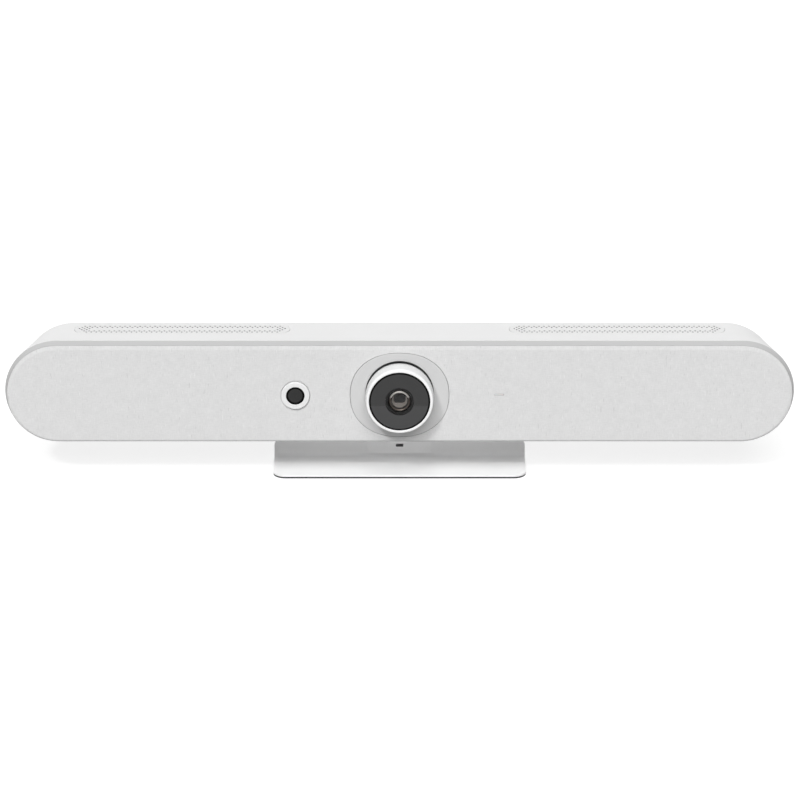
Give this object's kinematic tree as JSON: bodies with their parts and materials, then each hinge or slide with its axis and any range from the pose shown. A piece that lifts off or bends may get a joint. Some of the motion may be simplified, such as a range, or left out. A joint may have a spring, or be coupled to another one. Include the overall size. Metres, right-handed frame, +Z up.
{
  "type": "conference camera",
  "caption": "Low wide bar with a cloth front, a ball camera that turns in an oval trim, a small second camera, speakers, top vents, rear sockets and a bent sheet stand.",
  "frame": {"origin": "centre of the bounding box on the table, under the feet", "axes": "+X to the right as seen by the person in front of the camera, +Y from the lens to the back, +Z up"},
  "size_m": [0.721, 0.0922, 0.1325],
  "materials": {
    "white_housing": "fine satin, light grey white",
    "white_vent": "fine satin, light grey white",
    "grey_frame": "matte light grey",
    "grey_panel": "matte grey",
    "grey_fabric": "finely woven light grey cloth",
    "trim_plastic": "matte light grey",
    "turret_plastic": "smooth white",
    "black_glass": "polished, smoked nearly black",
    "clear_glass": "polished and coated",
    "dark_plastic": "matte black",
    "dark_alloy": "black anodised",
    "bare_alloy": "plain machined or cast",
    "bearing_bronze": "plain turned",
    "steel": "plain turned or plated",
    "motor_winding": "varnished winding on a steel core",
    "circuit_board": "green solder mask",
    "microphone_can": "thin plated can",
    "basket_paint": "satin black paint",
    "magnet_iron": "plain",
    "surround_rubber": "soft black",
    "cone_paper": "coated black",
    "sheet_steel": "zinc plated sheet",
    "socket_paint": "satin dark grey paint",
    "stand_paint": "smooth light grey white powder paint",
    "foot_rubber": "soft dark grey",
    "light_diffuser": "milky"
  },
  "bodies": {
    "housing": {"rear_shell": "white_housing", "front_frame": "grey_frame", "grille_panel": "grey_panel", "fabric_cover": "grey_fabric", "oval_trim": "trim_plastic", "vent_grille_left": "white_vent", "vent_grille_right": "white_vent", "gimbal_fork": "bare_alloy", "pan_pins": "steel", "pan_stator": "motor_winding", "eye_ring": "turret_plastic", "eye_window": "black_glass", "eye_module": "dark_plastic", "light_pipe": "light_diffuser", "light_board": "circuit_board", "microphone_strips": "circuit_board", "microphones": "microphone_can", "speaker_baskets": "basket_paint", "speaker_magnets": "magnet_iron", "speaker_surrounds": "surround_rubber", "speaker_boxes": "dark_plastic", "chassis_plate": "sheet_steel", "main_board": "circuit_board", "processor_chips": "dark_plastic", "amplifier_board": "circuit_board", "radio_board": "circuit_board", "heat_sink": "bare_alloy", "fan_housing": "dark_plastic", "socket_panel": "socket_paint", "video_data_sockets": "steel", "network_socket": "dark_plastic", "power_socket": "dark_plastic", "button_board": "circuit_board", "threaded_inserts": "bearing_bronze", "body_screws": "steel", "board_screws": "steel", "stand_screws": "steel", "stand_plate": "stand_paint", "stand_neck": "stand_paint", "rubber_feet": "foot_rubber"},
    "pan_gimbal": {"gimbal_ring": "bare_alloy", "gimbal_bushes": "bearing_bronze", "pan_rotor": "steel", "tilt_stator": "motor_winding"},
    "camera_head": {"turret_shell": "turret_plastic", "turret_ring": "turret_plastic", "turret_glass": "black_glass", "lens_carrier": "dark_plastic", "lens_ring": "dark_plastic", "lens_front": "clear_glass", "lens_barrel": "dark_alloy", "sensor_board": "circuit_board", "tilt_pins": "steel", "tilt_rotor": "steel"},
    "zoom_group": {"zoom_cell": "dark_plastic", "zoom_lens": "clear_glass"},
    "fan": {"fan_rotor": "dark_plastic"},
    "left_cone": {"speaker_cone_left": "cone_paper"},
    "right_cone": {"speaker_cone_right": "cone_paper"},
    "button": {"power_button": "white_housing"}
  },
  "joints": [
    {"name": "camera_pan", "type": "hinge", "parent": "housing", "child": "pan_gimbal", "pos_m": [0, -0.03505, 0.084], "axis": [0, 0, 1], "range_deg": [-25, 25]},
    {"name": "camera_tilt", "type": "hinge", "parent": "pan_gimbal", "child": "camera_head", "pos_m": [0, -0.03505, 0.084], "axis": [1, 0, 0], "range_deg": [-14, 14]},
    {"name": "zoom_travel", "type": "slide", "parent": "camera_head", "child": "zoom_group", "axis": [0, -1, 0], "range_m": [0, 0.004]},
    {"name": "fan_spin", "type": "hinge", "parent": "housing", "child": "fan", "pos_m": [0.07599, 0.02175, 0.096], "axis": [0, 1, 0], "continuous": true},
    {"name": "left_cone_travel", "type": "slide", "parent": "housing", "child": "left_cone", "axis": [0, 1, 0], "range_m": [-0.0015, 0.0015], "stiffness_N_per_m": 800},
    {"name": "right_cone_travel", "type": "slide", "parent": "housing", "child": "right_cone", "axis": [0, 1, 0], "range_m": [-0.0015, 0.0015], "stiffness_N_per_m": 800},
    {"name": "power_button_press", "type": "slide", "parent": "housing", "child": "button", "axis": [0, -1, 0], "range_m": [0, 0.0008], "stiffness_N_per_m": 600}
  ]
}
